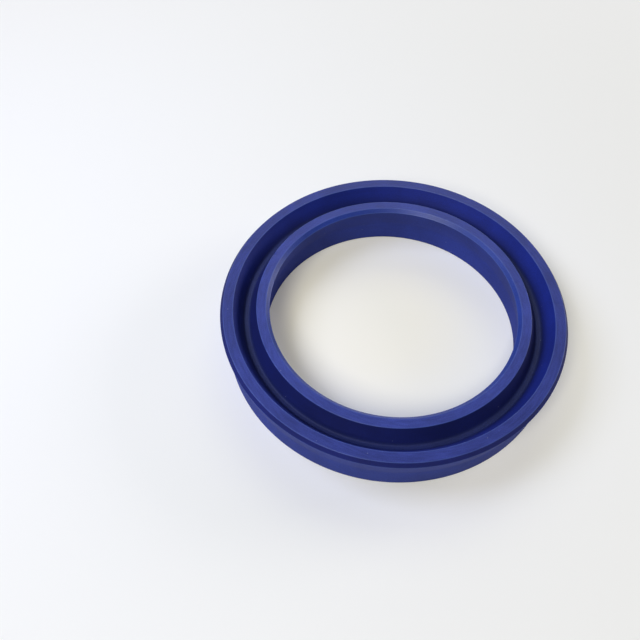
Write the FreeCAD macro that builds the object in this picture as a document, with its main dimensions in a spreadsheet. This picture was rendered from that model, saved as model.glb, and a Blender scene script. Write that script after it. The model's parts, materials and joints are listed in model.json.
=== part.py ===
import FreeCAD, Part
import os

import Sketcher

# A one-piece polyurethane U-ring seal, which seals a rod on its bore lip and a housing on its outer lip.
# It lies on its heel, centred on the Z axis, with its two lips and the groove between them facing up.
# All lengths are in millimetres. Widths are measured along the radius and heights along the axis.
SIZES = {
    "rod_diameter": (50.0, "bore of the heel"),
    "heel_width": (7.5, "from the bore of the heel to its outside, the depth of the housing's groove"),
    "ring_height": (10.0, "from the heel face to the crests of the lips"),
    "heel_wall_height": (4.8, "upright walls of the heel, below the flare of the lips"),
    "bore_flare_width": (1.05, "how far the bore lip reaches into the bore of the heel"),
    "outer_flare_width": (1.0, "how far the outer lip reaches past the outside of the heel"),
    "bore_bevel_width": (0.7, "bevel from the bore lip's sealing edge to its crest"),
    "bore_bevel_height": (0.7, "height of that bevel"),
    "outer_bevel_width": (0.6, "bevel from the outer lip's sealing edge to its crest"),
    "outer_bevel_height": (1.0, "height of that bevel"),
    "bore_crest_width": (1.8, "flat crest of the bore lip"),
    "outer_crest_width": (1.95, "flat crest of the outer lip"),
    "groove_depth": (3.7, "from the crests to the floor of the groove"),
    "groove_floor_width": (0.9, "floor of the groove, between its two slanted walls"),
    "groove_floor_shift": (0.2, "how far the floor lies off the middle of the mouth, towards the bore"),
    "groove_root_radius": (0.4, "round between each wall of the groove and its floor"),
    "waist_radius": (5.0, "soft bend where each lip starts to flare"),
    "heel_bore_radius": (0.6, "round between the heel face and the bore"),
    "heel_outer_chamfer": (0.3, "small flat at 45 degrees between the heel face and the outside"),
}

BORE = "sizes.rod_diameter / 2"
BORE_SEAL = f"{BORE} - sizes.bore_flare_width"
BORE_CREST = f"{BORE_SEAL} + sizes.bore_bevel_width"
BORE_MOUTH = f"{BORE_CREST} + sizes.bore_crest_width"
OUTSIDE = f"{BORE} + sizes.heel_width"
OUTER_SEAL = f"{OUTSIDE} + sizes.outer_flare_width"
OUTER_CREST = f"{OUTER_SEAL} - sizes.outer_bevel_width"
OUTER_MOUTH = f"{OUTER_CREST} - sizes.outer_crest_width"
FLOOR_MIDDLE = f"({BORE_MOUTH} + {OUTER_MOUTH}) / 2 - sizes.groove_floor_shift"
HEEL = "0"
WAIST = "sizes.heel_wall_height"
CREST = "sizes.ring_height"
FLOOR = f"{CREST} - sizes.groove_depth"

# The corners of the U section, anticlockwise from the heel's bore side.
# Each has its distance from the axis, its height, and the size that rounds it.
# The lips are trimmed with a knife, so their corners stay crisp.
CRISP = None
SECTION = {
    "heel_bore": (BORE, HEEL, "heel_bore_radius"),
    "heel_rim": (f"{OUTSIDE} - sizes.heel_outer_chamfer", HEEL, CRISP),
    "heel_outside": (OUTSIDE, "sizes.heel_outer_chamfer", CRISP),
    "outer_waist": (OUTSIDE, WAIST, "waist_radius"),
    "outer_seal": (OUTER_SEAL, f"{CREST} - sizes.outer_bevel_height", CRISP),
    "outer_crest": (OUTER_CREST, CREST, CRISP),
    "outer_mouth": (OUTER_MOUTH, CREST, CRISP),
    "outer_floor": (f"{FLOOR_MIDDLE} + sizes.groove_floor_width / 2", FLOOR, "groove_root_radius"),
    "bore_floor": (f"{FLOOR_MIDDLE} - sizes.groove_floor_width / 2", FLOOR, "groove_root_radius"),
    "bore_mouth": (BORE_MOUTH, CREST, CRISP),
    "bore_crest": (BORE_CREST, CREST, CRISP),
    "bore_seal": (BORE_SEAL, f"{CREST} - sizes.bore_bevel_height", CRISP),
    "bore_waist": (BORE, WAIST, "waist_radius"),
}
FULL_TURN = 360

# How a sketch names the two ends of a side, its horizontal axis and the point where its axes cross.
START, END = 1, 2
FLAT_AXIS = -1
ORIGIN = (FLAT_AXIS, START)


def make_sheet(doc):
    """The driving dimensions, one row each: name, value and what it measures."""
    sheet = doc.addObject("Spreadsheet::Sheet", "sizes")
    for row, (name, (value, meaning)) in enumerate(SIZES.items(), start=1):
        sheet.set(f"A{row}", name)
        sheet.set(f"B{row}", str(value))
        sheet.set(f"C{row}", meaning)
        sheet.setAlias(f"B{row}", name)
    doc.recompute()
    return sheet


def bind(sketch, constraint, name, formula):
    """Adds a named measure to a sketch and ties it to the sheet."""
    number = sketch.addConstraint(constraint)
    sketch.renameConstraint(number, name)
    sketch.setExpression(f"Constraints.{name}", formula)


def draw_section(body, sheet):
    """The closed U section in the upright plane: straight sides first, then the rounds at its corners."""
    sketch = body.newObject("Sketcher::SketchObject", "u_section")
    upright = next(plane for plane in body.Origin.OriginFeatures if plane.Role == "XZ_Plane")
    sketch.AttachmentSupport = [(upright, "")]
    sketch.MapMode = "FlatFace"
    points = []
    for reach, height, _ in SECTION.values():
        points.append(FreeCAD.Vector(sheet.evalExpression(reach), sheet.evalExpression(height), 0))
    count = len(points)
    for side in range(count):
        sketch.addGeometry(Part.LineSegment(points[side], points[(side + 1) % count]), False)
    for side in range(count):
        sketch.addConstraint(Sketcher.Constraint("Coincident", side, END, (side + 1) % count, START))
    for side, (corner, (reach, height, _)) in enumerate(SECTION.items()):
        across = Sketcher.Constraint("DistanceX", *ORIGIN, side, START, points[side].x)
        bind(sketch, across, f"{corner}_reach", reach)
        if height == HEEL:
            sketch.addConstraint(Sketcher.Constraint("PointOnObject", side, START, FLAT_AXIS))
        else:
            upward = Sketcher.Constraint("DistanceY", *ORIGIN, side, START, points[side].y)
            bind(sketch, upward, f"{corner}_height", height)
    trim_sides = keep_corner = True
    for side, (corner, (_, _, rounding)) in enumerate(SECTION.items()):
        if rounding is CRISP:
            continue
        radius = sheet.get(rounding)
        arc = sketch.GeometryCount
        sketch.fillet(side, START, radius, trim_sides, keep_corner)
        bind(sketch, Sketcher.Constraint("Radius", arc, radius), f"{corner}_round", f"sizes.{rounding}")
    return sketch


def make_ring(doc, sheet):
    """The seal: the U section turned once about its axis."""
    body = doc.addObject("PartDesign::Body", "SealRing")
    body.Label = "seal_ring"
    section = draw_section(body, sheet)
    doc.recompute()
    ring = body.newObject("PartDesign::Revolution", "ring")
    ring.Profile = section
    ring.ReferenceAxis = (section, ["V_Axis"])
    ring.Angle = FULL_TURN
    section.Visibility = False
    doc.recompute()
    return body


def check(doc, bodies):
    """Stops before anything is written if a feature failed or a piece isn't one sound solid."""
    for item in doc.Objects:
        if "Invalid" in item.State or "Error" in item.State:
            raise RuntimeError(f"{item.Label} failed: {item.State}")
    for body in bodies:
        if body.Shape.isNull() or not body.Shape.isValid() or len(body.Shape.Solids) != 1:
            raise RuntimeError(f"{body.Label} isn't one sound solid")


def main():
    doc = FreeCAD.newDocument("oil_seal")
    sheet = make_sheet(doc)
    bodies = [make_ring(doc, sheet)]
    check(doc, bodies)
    os.makedirs("parts", exist_ok=True)
    for body in bodies:
        body.Shape.exportStep(f"parts/{body.Label}.step")
        box = body.Shape.optimalBoundingBox()
        print(f"{body.Label}: volume {body.Shape.Volume:.1f} mm3, "
              f"box {box.XLength:.3f} x {box.YLength:.3f} x {box.ZLength:.3f} mm")


main()
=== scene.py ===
import json
import math
import random

import bpy
from mathutils import Matrix, Vector, noise


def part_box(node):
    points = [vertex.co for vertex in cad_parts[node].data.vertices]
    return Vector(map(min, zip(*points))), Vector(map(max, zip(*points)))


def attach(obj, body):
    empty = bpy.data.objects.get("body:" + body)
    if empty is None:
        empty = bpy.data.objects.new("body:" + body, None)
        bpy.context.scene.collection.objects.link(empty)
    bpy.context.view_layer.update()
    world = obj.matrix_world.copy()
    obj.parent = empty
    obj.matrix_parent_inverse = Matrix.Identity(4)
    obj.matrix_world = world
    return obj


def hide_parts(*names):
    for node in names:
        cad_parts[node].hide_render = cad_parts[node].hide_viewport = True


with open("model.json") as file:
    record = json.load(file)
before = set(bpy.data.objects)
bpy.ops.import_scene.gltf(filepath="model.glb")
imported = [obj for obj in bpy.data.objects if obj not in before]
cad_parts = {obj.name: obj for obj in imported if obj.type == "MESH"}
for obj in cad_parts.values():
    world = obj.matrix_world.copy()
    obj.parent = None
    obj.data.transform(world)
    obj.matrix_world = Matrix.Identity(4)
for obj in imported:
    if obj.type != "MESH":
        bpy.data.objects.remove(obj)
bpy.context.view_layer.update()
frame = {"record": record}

# The ring and its material are written in millimetres, and every Blender object is in metres.
MM = 0.001
FULL_TURN = 2 * math.pi


def mount_radius(name):
    """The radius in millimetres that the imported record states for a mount."""
    return next(mount["dims"]["r_mm"] for mount in frame["record"]["mounts"] if mount["name"] == name)


# The ring's section. The heel's walls, the outer sealing edge and the height come from the frame.
_, ring_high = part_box("seal_ring")
HEEL_BORE = mount_radius("bore")
HEEL_OUTSIDE = mount_radius("housing_seat")
OUTER_SEAL = ring_high[0] / MM
RING_HEIGHT = ring_high[2] / MM
HEEL_WALL_HEIGHT = 4.8
HEEL_CHAMFER = 0.3
BORE_FLARE_WIDTH = 1.05
BORE_BEVEL_WIDTH = 0.7
BORE_BEVEL_HEIGHT = 0.7
OUTER_BEVEL_WIDTH = 0.6
OUTER_BEVEL_HEIGHT = 1.0
BORE_CREST_WIDTH = 1.8
OUTER_CREST_WIDTH = 1.95
GROOVE_DEPTH = 3.7
GROOVE_FLOOR_WIDTH = 0.9
GROOVE_FLOOR_SHIFT = 0.2

BORE_SEAL = HEEL_BORE - BORE_FLARE_WIDTH
BORE_CREST = BORE_SEAL + BORE_BEVEL_WIDTH
BORE_MOUTH = BORE_CREST + BORE_CREST_WIDTH
OUTER_CREST = OUTER_SEAL - OUTER_BEVEL_WIDTH
OUTER_MOUTH = OUTER_CREST - OUTER_CREST_WIDTH
BORE_SEAL_HEIGHT = RING_HEIGHT - BORE_BEVEL_HEIGHT
OUTER_SEAL_HEIGHT = RING_HEIGHT - OUTER_BEVEL_HEIGHT
FLOOR_MIDDLE = (BORE_MOUTH + OUTER_MOUTH) / 2 - GROOVE_FLOOR_SHIFT
FLOOR_HEIGHT = RING_HEIGHT - GROOVE_DEPTH

# Rounds of the section's corners. The trimmed lips' edges, crisp in the CAD solid, are softened here.
HEEL_ROUND = 0.6
CHAMFER_ROUND = 0.2
WAIST_ROUND = 5.0
ROOT_ROUND = 0.4
CREST_ROUND = 0.10
OUTER_SEAL_ROUND = 0.06
BORE_SEAL_ROUND = 0.08

# Corners of the section, anticlockwise from the heel's bore side: reach, height, round, steps in the round.
SECTION = [
    (HEEL_BORE, 0, HEEL_ROUND, 8),
    (HEEL_OUTSIDE - HEEL_CHAMFER, 0, CHAMFER_ROUND, 3),
    (HEEL_OUTSIDE, HEEL_CHAMFER, CHAMFER_ROUND, 3),
    (HEEL_OUTSIDE, HEEL_WALL_HEIGHT, WAIST_ROUND, 5),
    (OUTER_SEAL, OUTER_SEAL_HEIGHT, OUTER_SEAL_ROUND, 4),
    (OUTER_CREST, RING_HEIGHT, CREST_ROUND, 4),
    (OUTER_MOUTH, RING_HEIGHT, CREST_ROUND, 5),
    (FLOOR_MIDDLE + GROOVE_FLOOR_WIDTH / 2, FLOOR_HEIGHT, ROOT_ROUND, 6),
    (FLOOR_MIDDLE - GROOVE_FLOOR_WIDTH / 2, FLOOR_HEIGHT, ROOT_ROUND, 6),
    (BORE_MOUTH, RING_HEIGHT, CREST_ROUND, 5),
    (BORE_CREST, RING_HEIGHT, CREST_ROUND, 4),
    (BORE_SEAL, BORE_SEAL_HEIGHT, BORE_SEAL_ROUND, 4),
    (HEEL_BORE, HEEL_WALL_HEIGHT, WAIST_ROUND, 5),
]

# The mesh: steps around the ring, the usual stretch along a straight side, and how far from each round
# a side has one more point, which keeps it flat in the shading.
SEGMENTS = 720
STRETCH = 1.6
SUPPORT = 0.03

# The soft lips bend towards the axis and sag a little. Both vary round the ring, each with its own noise.
LIP_BEND = 0.05
LIP_SAG = 0.02
BEND_SCALE = 1.7
SAG_SCALE = 4.0
OUTER_BEND_SEED = 3.0
BORE_BEND_SEED = 9.0
OUTER_SAG_SEED = 15.0
BORE_SAG_SEED = 21.0

# Nicks in the crests' edges: how many, the seed of their places, half their length along the edge,
# half their width across it, the full depth, the share of it that each has, and how far below the crests
# a point of the outline may lie and still be in a nick.
NICKS = 7
NICK_SEED = 11
NICK_HALF_LENGTHS = (0.3, 0.9)
NICK_HALF_WIDTH = 0.25
NICK_DEPTH = 0.09
NICK_DEPTH_SHARES = (0.3, 1.0)
NICK_ZONE = 0.3

# The camera that took the reference picture, found from the ring's circular edges: lengths in millimetres,
# angles in degrees, and the rest in pixels of the picture.
IMAGE_PIXELS = 640
FOCAL_PIXELS = 760.4
RING_MIDDLE_PIXEL = (391.4, 318.2)
CAMERA_DISTANCE = 151.5
CAMERA_ELEVATION = 55.41
CAMERA_ROLL = 9.13
SENSOR_WIDTH = 36
NEAREST_SEEN = 10.0

# Base colours of the polyurethane's zones, with painted light and shade: the crests, the bore's bevel and
# the groove's floor are paler for painted sheen (the crests are paler from the knife too), the bore wall,
# the outer bevel and the deep groove darker for painted shade, and the edges paler for painted highlights.
OUTER_WALL_BLUE = (0.0205, 0.039, 0.258, 1)
BORE_WALL_SHADE_BLUE = (0.0155, 0.031, 0.225, 1)
OUTER_BEVEL_SHADE_BLUE = (0.0025, 0.008, 0.128, 1)
BORE_BEVEL_SHEEN_BLUE = (0.0225, 0.0475, 0.278, 1)
OUTER_CREST_SHEEN_BLUE = (0.0285, 0.0430, 0.235, 1)
BORE_CREST_SHEEN_BLUE = (0.0345, 0.0525, 0.275, 1)
GROOVE_WALL_BLUE = (0.0072, 0.0190, 0.222, 1)
GROOVE_PAINTED_SHADE_BLUE = (0.0042, 0.0092, 0.102, 1)
GROOVE_FLOOR_SHEEN_BLUE = (0.016, 0.025, 0.122, 1)
EDGE_HIGHLIGHT_BLUE = (0.080, 0.135, 0.450, 1)
DUST = (0.35, 0.38, 0.55, 1)

# How matt each zone is, and one plain value for how strongly all of them reflect.
WALL_ROUGHNESS = 0.80
GROOVE_ROUGHNESS = 0.62
BORE_BEVEL_ROUGHNESS = 0.42
CREST_ROUGHNESS = 0.44
GLOSS = 0.34

# Over how far the zones pass into one another, and where the groove's painted shade and the painted sheen
# on its floor start and end.
SHARP = 0.05
SOFT = 0.10
SIDES_BLEND = 2.0
BETWEEN_HEEL_AND_GROOVE = (2.0, 3.0)
SHADE_REACH = (FLOOR_MIDDLE + 0.6, OUTER_MOUTH - 1.2)
SHADE_HEIGHT = (FLOOR_HEIGHT + 0.3, FLOOR_HEIGHT + 2.6)
SHADE_SHARE_LOW_DOWN = 0.75
FLOOR_SHEEN_BAND = (FLOOR_HEIGHT, FLOOR_HEIGHT + 0.75)

# The lips' thin edges: how wide the band along them is, how much paler it is painted as a highlight, and
# how much smoother it is there.
EDGE_WIDTH = 0.16
EDGE_HIGHLIGHT_SHARE = 0.30
EDGE_POLISH = 0.10

# Streaks: changes round the ring for each radian, and across them for each millimetre.
# The knife's marks run round a point a little off the ring's centre, so they cross the crests at a slant.
MOULD_AROUND = 5.0
MOULD_ACROSS = 3.5
MOULD_NOISE_RANGE = (0.25, 0.75)
MOULD_STREAK_SWING = 0.06
KNIFE_AROUND = 12.0
KNIFE_ACROSS = 3.2
KNIFE_CENTRE = (2.4, -1.6, 0.0)

# Mottling, grain and specks of dust, with their scales for each millimetre.
NOISE_RANGE = (0.3, 0.7)
NOISE_DETAIL = 3.0
CLOUD_SCALE = 0.13
GRAIN_SCALE = 4.5
GRAIN_ROUGHNESS = 0.6
CLOUD_SWING = 0.10
STREAK_SWING = 0.12
GRAIN_SWING = 0.12
MATT_SWING = 0.04
SPECK_SCALE = 0.55
SPECK_EDGE = (0.03, 0.07)
SPECK_CHANCE = (0.72, 0.75)
SPECK_SHARE = 0.30
RELIEF_DEPTH = 0.010
RELIEF_STRENGTH = 0.5
GRAIN_RELIEF = 0.5

# The floor, in metres. To the camera its shade is a fifth fainter beside the ring, it fades out wholly
# between the two fade distances, and a patch inside the bore is warmer.
FLOOR_HALF = 1.5
FLOOR_COLOUR = (0.950, 0.935, 0.910, 1)
FLOOR_ROUGHNESS = 0.6
FLOOR_GLOSS = 0.2
BACKDROP = (0.89, 0.89, 0.90, 1)
# The warm patch's glow colour is a painted warm shade.
WARM_SHADE_BACKDROP = (1.05, 0.93, 0.58, 1)
FADE_DISTANCES = (0.05, 0.26)
LEAST_FADE = 0.20
WARM_CENTRE = (-0.004, 0.002, 0.0)
WARM_DISTANCES = (0.008, 0.028)

# The room's faint light from all sides.
ROOM_COLOUR = (1.0, 0.96, 0.90, 1)
ROOM_STRENGTH = 0.02

# The windows: name, azimuth and elevation in degrees, distance, width and height in metres, watts, colour.
# Azimuth 0 is along +X and 90 along +Y.
WINDOWS = [
    ("front_window", 250, 50, 1.2, 0.5, 0.5, 8.8, (1.0, 0.98, 0.84)),
    ("left_window", 182, 50, 0.32, 0.15, 0.15, 0.54, (0.57, 0.66, 1.0)),
    ("high_back_window", 98, 42, 1.2, 1.0, 0.5, 2.9, (0.98, 1.0, 0.78)),
    ("low_back_window", 98, 17, 1.2, 1.0, 0.4, 1.1, (0.96, 1.0, 0.96)),
    ("right_window", 35, 15, 1.2, 0.6, 0.4, 5.8, (1.0, 0.96, 0.98)),
]


def round_corner(before, corner, after, radius, steps):
    """Points of the arc that rounds a corner, from the side before it to the side after it."""
    back = (before - corner).normalized()
    ahead = (after - corner).normalized()
    half = back.angle(ahead) / 2
    centre = corner + (back + ahead).normalized() * (radius / math.sin(half))
    first = corner + back * (radius / math.tan(half)) - centre
    sweep = math.copysign(math.pi - 2 * half, ahead.cross(back))
    return [centre + Matrix.Rotation(sweep * step / steps, 2) @ first for step in range(steps + 1)]


def section_points():
    """The whole outline: arcs at the corners, and evenly divided straight stretches between them."""
    count = len(SECTION)
    places = [Vector((reach, height)) for reach, height, _, _ in SECTION]
    arcs = []
    for index, (_, _, radius, steps) in enumerate(SECTION):
        after = places[(index + 1) % count]
        arcs.append(round_corner(places[index - 1], places[index], after, radius, steps))
    points = []
    for index, arc in enumerate(arcs):
        points.extend(arc)
        start = arc[-1]
        end = arcs[(index + 1) % count][0]
        along = (end - start).normalized()
        first = start + along * SUPPORT
        last = end - along * SUPPORT
        pieces = max(1, round((last - first).length / STRETCH))
        points.extend(first.lerp(last, piece / pieces) for piece in range(pieces + 1))
    return points


def make_nicks():
    """Small dents in the crests' edges: angle, reach, half length along the edge, share of the depth."""
    chance = random.Random(NICK_SEED)
    edges = (BORE_CREST, BORE_MOUTH, OUTER_MOUTH, OUTER_CREST)
    nicks = []
    for _ in range(NICKS):
        angle = chance.uniform(0, FULL_TURN)
        edge = chance.choice(edges)
        nicks.append((angle, edge, chance.uniform(*NICK_HALF_LENGTHS), chance.uniform(*NICK_DEPTH_SHARES)))
    return nicks


def noise_share(place, seed):
    """Smooth noise between 0 and 1 at a place in the plane. Each seed gives a noise of its own."""
    return 0.5 + 0.5 * noise.noise(place + Vector((0, 0, seed)))


def uneven(point, turn, nicks):
    """Where a point of the outline really lies at one angle, with the lips' bend and sag and the nicks."""
    reach, height = point
    up_the_lip = max(0.0, (height - FLOOR_HEIGHT) / GROOVE_DEPTH)
    direction = Vector((math.cos(turn), math.sin(turn), 0))
    on_outer_lip = reach > FLOOR_MIDDLE
    bend = noise_share(direction * BEND_SCALE, OUTER_BEND_SEED if on_outer_lip else BORE_BEND_SEED)
    sag = noise_share(direction * SAG_SCALE, OUTER_SAG_SEED if on_outer_lip else BORE_SAG_SEED)
    inwards = LIP_BEND * bend * up_the_lip * up_the_lip
    downwards = LIP_SAG * sag * up_the_lip * up_the_lip
    moved = Vector((reach - inwards, height - downwards))
    if height > RING_HEIGHT - NICK_ZONE:
        for angle, edge, half_length, share in nicks:
            apart = (turn - angle + math.pi) % FULL_TURN - math.pi
            nearness = 1 - (apart * edge / half_length) ** 2 - ((reach - edge) / NICK_HALF_WIDTH) ** 2
            if nearness > 0:
                moved.y -= NICK_DEPTH * share * nearness
    return moved


def build_ring():
    """The seal as one turned mesh."""
    outline = section_points()
    nicks = make_nicks()
    rows = len(outline)
    vertices = []
    for segment in range(SEGMENTS):
        turn = FULL_TURN * segment / SEGMENTS
        for point in outline:
            reach, height = uneven(point, turn, nicks)
            vertices.append((reach * math.cos(turn) * MM, reach * math.sin(turn) * MM, height * MM))
    faces = []
    for segment in range(SEGMENTS):
        here = segment * rows
        there = (segment + 1) % SEGMENTS * rows
        for row in range(rows):
            above = (row + 1) % rows
            faces.append((here + row, there + row, there + above, here + above))
    mesh = bpy.data.meshes.new("seal_body")
    mesh.from_pydata(vertices, [], faces)
    mesh.validate()
    mesh.shade_smooth()
    ring = bpy.data.objects.new("seal_body", mesh)
    bpy.context.scene.collection.objects.link(ring)
    return ring


def add_node(tree, kind, inputs=None, **settings):
    """Adds a shader node. An input is a plain value or another node's output."""
    made = tree.nodes.new(kind)
    for name, value in settings.items():
        setattr(made, name, value)
    for name, value in (inputs or {}).items():
        if isinstance(value, bpy.types.NodeSocket):
            tree.links.new(value, made.inputs[name])
        else:
            made.inputs[name].default_value = value
    return made


def calculate(tree, operation, *values):
    """The output of one Math node."""
    return add_node(tree, "ShaderNodeMath", dict(enumerate(values)), operation=operation).outputs[0]


def blend_colours(tree, factor, first, second):
    """Mixes two colours. The node's colours are its inputs 6 and 7, and the result is its output 2."""
    return add_node(tree, "ShaderNodeMix", {0: factor, 6: first, 7: second}, data_type="RGBA").outputs[2]


def blend_values(tree, factor, first, second):
    """Mixes two plain values, which are the node's inputs 2 and 3."""
    return add_node(tree, "ShaderNodeMix", {0: factor, 2: first, 3: second}).outputs[0]


def noise_at(tree, place, scale, roughness=0.5):
    """Soft noise between 0 and 1."""
    inputs = {"Vector": place, "Scale": scale, "Detail": NOISE_DETAIL, "Roughness": roughness}
    return add_node(tree, "ShaderNodeTexNoise", inputs).outputs["Fac"]


def remap(tree, value, low, high, new_low=0.0, new_high=1.0):
    """Maps a stretch of values softly to another, and holds the ends."""
    inputs = {"Value": value, "From Min": low, "From Max": high, "To Min": new_low, "To Max": new_high}
    return add_node(tree, "ShaderNodeMapRange", inputs, interpolation_type="SMOOTHSTEP").outputs["Result"]


def swing(tree, value, size, middle=1.0):
    """Turns soft noise into a value that swings by a size to both sides of a middle."""
    return remap(tree, value, *NOISE_RANGE, middle - size, middle + size)


def edge_mask(tree, reach, height):
    """1 on the lips' thin edges, 0 a little away from them."""
    edges = [
        (OUTER_SEAL, OUTER_SEAL_HEIGHT),
        (OUTER_CREST, RING_HEIGHT),
        (OUTER_MOUTH, RING_HEIGHT),
        (BORE_MOUTH, RING_HEIGHT),
        (BORE_CREST, RING_HEIGHT),
        (BORE_SEAL, BORE_SEAL_HEIGHT),
    ]
    nearest = None
    for edge_reach, edge_height in edges:
        across = calculate(tree, "SUBTRACT", reach, edge_reach)
        upward = calculate(tree, "SUBTRACT", height, edge_height)
        both = add_node(tree, "ShaderNodeCombineXYZ", {0: across, 1: upward}).outputs[0]
        distance = add_node(tree, "ShaderNodeVectorMath", {0: both}, operation="LENGTH").outputs["Value"]
        nearest = distance if nearest is None else calculate(tree, "MINIMUM", nearest, distance)
    return remap(tree, nearest, EDGE_WIDTH * 0.5, EDGE_WIDTH, 1.0, 0.0)


def find_zones(tree, reach, height):
    """Masks of the material's zones, each 1 inside its zone and 0 outside it."""
    past_bore_crest = remap(tree, reach, BORE_MOUTH - SHARP, BORE_MOUTH + SOFT)
    before_outer_crest = remap(tree, reach, OUTER_MOUTH - SOFT, OUTER_MOUTH + SHARP, 1.0, 0.0)
    inside = calculate(tree, "MULTIPLY", past_bore_crest, before_outer_crest)
    above_heel = remap(tree, height, *BETWEEN_HEEL_AND_GROOVE)
    above_outer_seal = remap(tree, height, OUTER_SEAL_HEIGHT - SHARP, OUTER_SEAL_HEIGHT + SHARP)
    past_outer_crest = remap(tree, reach, OUTER_CREST - SHARP, OUTER_CREST + SHARP)
    above_bore_seal = remap(tree, height, BORE_SEAL_HEIGHT - SHARP, BORE_SEAL_HEIGHT + SHARP)
    before_bore_crest = remap(tree, reach, BORE_CREST - SHARP, BORE_CREST + SHARP, 1.0, 0.0)
    return {
        "crest": remap(tree, height, RING_HEIGHT - SOFT, RING_HEIGHT - SHARP),
        "groove": calculate(tree, "MULTIPLY", inside, above_heel),
        "outer_bevel": calculate(tree, "MULTIPLY", above_outer_seal, past_outer_crest),
        "bore_bevel": calculate(tree, "MULTIPLY", above_bore_seal, before_bore_crest),
    }


def streaks_round(tree, angle, around, across, density):
    """Soft streaks that run round the ring, with few changes around it and many across."""
    forward = calculate(tree, "MULTIPLY", calculate(tree, "COSINE", angle), around)
    sideways = calculate(tree, "MULTIPLY", calculate(tree, "SINE", angle), around)
    level = calculate(tree, "MULTIPLY", across, density)
    place = add_node(tree, "ShaderNodeCombineXYZ", {0: forward, 1: sideways, 2: level}).outputs[0]
    return noise_at(tree, place, 1.0)


def make_streaks(tree, flat, reach, height, angle, crest):
    """Faint streaks of the mould on the walls, and clearer ones of the knife on the crests."""
    up_and_out = calculate(tree, "ADD", height, reach)
    mould = streaks_round(tree, angle, MOULD_AROUND, up_and_out, MOULD_ACROSS)
    faint = (0.5 - MOULD_STREAK_SWING, 0.5 + MOULD_STREAK_SWING)
    mould = remap(tree, mould, *MOULD_NOISE_RANGE, *faint)
    off_centre = add_node(tree, "ShaderNodeVectorMath", {0: flat, 1: KNIFE_CENTRE}, operation="DISTANCE")
    knife = streaks_round(tree, angle, KNIFE_AROUND, off_centre.outputs["Value"], KNIFE_ACROSS)
    return blend_values(tree, crest, mould, knife)


def colour_zones(tree, zones, reach, height):
    """The blue of each zone, a little different on the bore side and on the outer side, with painted light
    and shade: sheen on the crests, the bore's bevel and the groove's floor, and shade on the bore wall, the
    outer bevel and deep in the groove.
    """
    outer_side = remap(tree, reach, FLOOR_MIDDLE - SIDES_BLEND, FLOOR_MIDDLE + SIDES_BLEND)
    # Painted shade: the groove is painted darker towards its bore side and low down.
    bore_side = remap(tree, reach, *SHADE_REACH, 1.0, 0.0)
    low_part = remap(tree, height, *SHADE_HEIGHT, SHADE_SHARE_LOW_DOWN, 0.0)
    painted_shade = calculate(tree, "MAXIMUM", bore_side, low_part)
    # Painted sheen: the groove's floor is painted a paler, greyer blue.
    floor_sheen = remap(tree, height, *FLOOR_SHEEN_BAND, 1.0, 0.0)
    groove = blend_colours(tree, painted_shade, GROOVE_WALL_BLUE, GROOVE_PAINTED_SHADE_BLUE)
    groove = blend_colours(tree, floor_sheen, groove, GROOVE_FLOOR_SHEEN_BLUE)
    # Painted shade: the bore wall is painted darker than the outer wall.
    wall = blend_colours(tree, outer_side, BORE_WALL_SHADE_BLUE, OUTER_WALL_BLUE)
    # Painted sheen: the crests are painted paler and greyer, the bore's crest most; the knife makes them
    # paler too.
    crest = blend_colours(tree, outer_side, BORE_CREST_SHEEN_BLUE, OUTER_CREST_SHEEN_BLUE)
    colour = blend_colours(tree, zones["groove"], wall, groove)
    # Painted shade: the outer bevel is painted darker.
    colour = blend_colours(tree, zones["outer_bevel"], colour, OUTER_BEVEL_SHADE_BLUE)
    # Painted sheen: the bore's bevel is painted paler.
    colour = blend_colours(tree, zones["bore_bevel"], colour, BORE_BEVEL_SHEEN_BLUE)
    return blend_colours(tree, zones["crest"], colour, crest)


def find_specks(tree, place):
    """Small specks of dust, in about a quarter of the cells."""
    cells = add_node(tree, "ShaderNodeTexVoronoi", {"Vector": place, "Scale": SPECK_SCALE})
    chance = add_node(tree, "ShaderNodeSeparateColor", {0: cells.outputs["Color"]}).outputs[0]
    near = remap(tree, cells.outputs["Distance"], *SPECK_EDGE, 1.0, 0.0)
    chosen = remap(tree, chance, *SPECK_CHANCE)
    return calculate(tree, "MULTIPLY", near, chosen)


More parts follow.
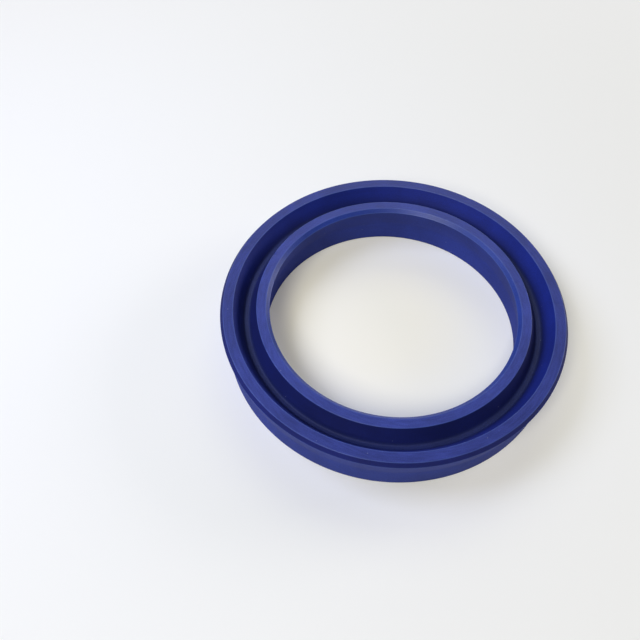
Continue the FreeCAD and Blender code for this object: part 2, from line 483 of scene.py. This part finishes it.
def polyurethane():
    """Satin royal-blue polyurethane: moulded walls, knife-trimmed crests that are paler with painted sheen
    too, and a groove painted darker as shade.
    """
    material = bpy.data.materials.new("polyurethane")
    material.use_nodes = True
    tree = material.node_tree
    shader = tree.nodes["Principled BSDF"]
    where = add_node(tree, "ShaderNodeTexCoord").outputs["Object"]
    in_millimetres = {0: where, 1: (1 / MM,) * 3}
    place = add_node(tree, "ShaderNodeVectorMath", in_millimetres, operation="MULTIPLY").outputs[0]
    across, along, height = add_node(tree, "ShaderNodeSeparateXYZ", {0: place}).outputs
    flat = add_node(tree, "ShaderNodeCombineXYZ", {0: across, 1: along}).outputs[0]
    reach = add_node(tree, "ShaderNodeVectorMath", {0: flat}, operation="LENGTH").outputs["Value"]
    angle = calculate(tree, "ARCTAN2", along, across)

    zones = find_zones(tree, reach, height)
    edges = edge_mask(tree, reach, height)
    streaks = make_streaks(tree, flat, reach, height, angle, zones["crest"])
    grain = noise_at(tree, place, GRAIN_SCALE, GRAIN_ROUGHNESS)
    cloud = noise_at(tree, place, CLOUD_SCALE)

    streak_tone = swing(tree, streaks, STREAK_SWING)
    grain_tone = swing(tree, grain, GRAIN_SWING)
    cloud_tone = swing(tree, cloud, CLOUD_SWING)
    tone = calculate(tree, "MULTIPLY", cloud_tone, calculate(tree, "MULTIPLY", streak_tone, grain_tone))
    colour = colour_zones(tree, zones, reach, height)
    toned = add_node(tree, "ShaderNodeVectorMath", {0: colour, "Scale": tone}, operation="SCALE").outputs[0]
    # Painted highlights: the lips' thin edges are painted paler.
    edge_highlight = calculate(tree, "MULTIPLY", edges, EDGE_HIGHLIGHT_SHARE)
    colour = blend_colours(tree, edge_highlight, toned, EDGE_HIGHLIGHT_BLUE)
    specks = calculate(tree, "MULTIPLY", find_specks(tree, place), SPECK_SHARE)
    colour = blend_colours(tree, specks, colour, DUST)
    tree.links.new(colour, shader.inputs["Base Color"])

    # The moulded walls are duller than the crests and the bore's bevel, which the knife has left smooth.
    matt = blend_values(tree, zones["groove"], WALL_ROUGHNESS, GROOVE_ROUGHNESS)
    matt = blend_values(tree, zones["bore_bevel"], matt, BORE_BEVEL_ROUGHNESS)
    matt = blend_values(tree, zones["crest"], matt, CREST_ROUGHNESS)
    matt = calculate(tree, "ADD", matt, swing(tree, streaks, MATT_SWING, 0.0))
    matt = calculate(tree, "SUBTRACT", matt, calculate(tree, "MULTIPLY", edges, EDGE_POLISH))
    tree.links.new(matt, shader.inputs["Roughness"])
    shader.inputs["Specular IOR Level"].default_value = GLOSS

    relief = calculate(tree, "ADD", calculate(tree, "MULTIPLY", grain, GRAIN_RELIEF), streaks)
    bump_inputs = {"Height": relief, "Strength": RELIEF_STRENGTH, "Distance": RELIEF_DEPTH * MM}
    bump = add_node(tree, "ShaderNodeBump", bump_inputs)
    tree.links.new(bump.outputs["Normal"], shader.inputs["Normal"])
    return material


def floor_material():
    """Pale and matt. The camera sees its shade fade into the backdrop, which is painted warmer inside the
    bore as warm shade.
    """
    material = bpy.data.materials.new("floor")
    material.use_nodes = True
    tree = material.node_tree
    shader = tree.nodes["Principled BSDF"]
    shader.inputs["Base Color"].default_value = FLOOR_COLOUR
    shader.inputs["Roughness"].default_value = FLOOR_ROUGHNESS
    shader.inputs["Specular IOR Level"].default_value = FLOOR_GLOSS
    where = add_node(tree, "ShaderNodeTexCoord").outputs["Object"]
    away = add_node(tree, "ShaderNodeVectorMath", {0: where}, operation="LENGTH").outputs["Value"]
    fade = remap(tree, away, *FADE_DISTANCES, LEAST_FADE, 1.0)
    seen = add_node(tree, "ShaderNodeLightPath").outputs["Is Camera Ray"]
    from_middle = add_node(tree, "ShaderNodeVectorMath", {0: where, 1: WARM_CENTRE}, operation="DISTANCE")
    # Painted warm shade: the glow inside the bore is warmer.
    warm_shade = remap(tree, from_middle.outputs["Value"], *WARM_DISTANCES, 1.0, 0.0)
    pale = blend_colours(tree, warm_shade, BACKDROP, WARM_SHADE_BACKDROP)
    glow = add_node(tree, "ShaderNodeEmission", {"Color": pale})
    share = calculate(tree, "MULTIPLY", fade, seen)
    mixed = add_node(tree, "ShaderNodeMixShader", {0: share, 1: shader.outputs[0], 2: glow.outputs[0]})
    tree.links.new(mixed.outputs[0], tree.nodes["Material Output"].inputs["Surface"])
    return material


def build_floor():
    """A large board that the ring lies on."""
    signs = ((-1, -1), (1, -1), (1, 1), (-1, 1))
    corners = [(across * FLOOR_HALF, along * FLOOR_HALF, 0) for across, along in signs]
    mesh = bpy.data.meshes.new("floor")
    mesh.from_pydata(corners, [], [(0, 1, 2, 3)])
    mesh.materials.append(floor_material())
    floor = bpy.data.objects.new("floor", mesh)
    bpy.context.scene.collection.objects.link(floor)


def build_world():
    """A dim room, and the floor's own pale colour where the camera looks past the floor."""
    world = bpy.data.worlds.new("room")
    world.use_nodes = True
    tree = world.node_tree
    tree.nodes.clear()
    room = add_node(tree, "ShaderNodeBackground", {"Color": ROOM_COLOUR, "Strength": ROOM_STRENGTH})
    pale = add_node(tree, "ShaderNodeBackground", {"Color": BACKDROP, "Strength": 1.0})
    seen = add_node(tree, "ShaderNodeLightPath").outputs["Is Camera Ray"]
    mixed = add_node(tree, "ShaderNodeMixShader", {0: seen, 1: room.outputs[0], 2: pale.outputs[0]})
    out = add_node(tree, "ShaderNodeOutputWorld")
    tree.links.new(mixed.outputs[0], out.inputs["Surface"])
    bpy.context.scene.world = world


def build_windows():
    """Soft oblong lights that face the ring."""
    for name, azimuth, elevation, distance, width, height, power, colour in WINDOWS:
        lamp = bpy.data.lights.new(name, "AREA")
        lamp.shape = "RECTANGLE"
        lamp.size = width
        lamp.size_y = height
        lamp.energy = power
        lamp.color = colour
        window = bpy.data.objects.new(name, lamp)
        window.visible_camera = False
        turn = math.radians(azimuth)
        lift = math.radians(elevation)
        towards = Vector((math.cos(turn) * math.cos(lift), math.sin(turn) * math.cos(lift), math.sin(lift)))
        window.location = towards * distance
        window.rotation_euler = towards.to_track_quat("Z", "Y").to_euler()
        bpy.context.scene.collection.objects.link(window)


def build_camera():
    """The reference picture's camera. The ring's middle falls off the picture's centre."""
    centre = Vector((0, 0, RING_HEIGHT / 2))
    lift = math.radians(CAMERA_ELEVATION)
    outward = Vector((0, -math.cos(lift), math.sin(lift)))
    ahead = -outward
    right = Vector((1, 0, 0))
    level = Matrix((right, ahead.cross(right), ahead))
    offset = [(pixel - IMAGE_PIXELS / 2) / FOCAL_PIXELS for pixel in RING_MIDDLE_PIXEL]
    swivel = Vector((0, 0, 1)).rotation_difference(Vector((*offset, 1))).to_matrix()
    roll = Matrix.Rotation(math.radians(CAMERA_ROLL), 3, "Z")
    axes = swivel @ roll @ level
    facing = Matrix((axes[0], -axes[1], -axes[2])).transposed()
    lens = bpy.data.cameras.new("camera")
    lens.sensor_width = SENSOR_WIDTH
    lens.lens = FOCAL_PIXELS / IMAGE_PIXELS * SENSOR_WIDTH
    lens.clip_start = NEAREST_SEEN * MM
    camera = bpy.data.objects.new("camera", lens)
    camera.matrix_world = Matrix.Translation((centre + outward * CAMERA_DISTANCE) * MM) @ facing.to_4x4()
    bpy.context.scene.collection.objects.link(camera)
    bpy.context.scene.camera = camera


def main():
    bpy.context.scene.view_settings.view_transform = "Standard"
    ring = build_ring()
    ring.data.materials.append(polyurethane())
    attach(ring, "root")
    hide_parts("seal_ring")
    build_floor()
    build_world()
    build_windows()
    build_camera()


main()
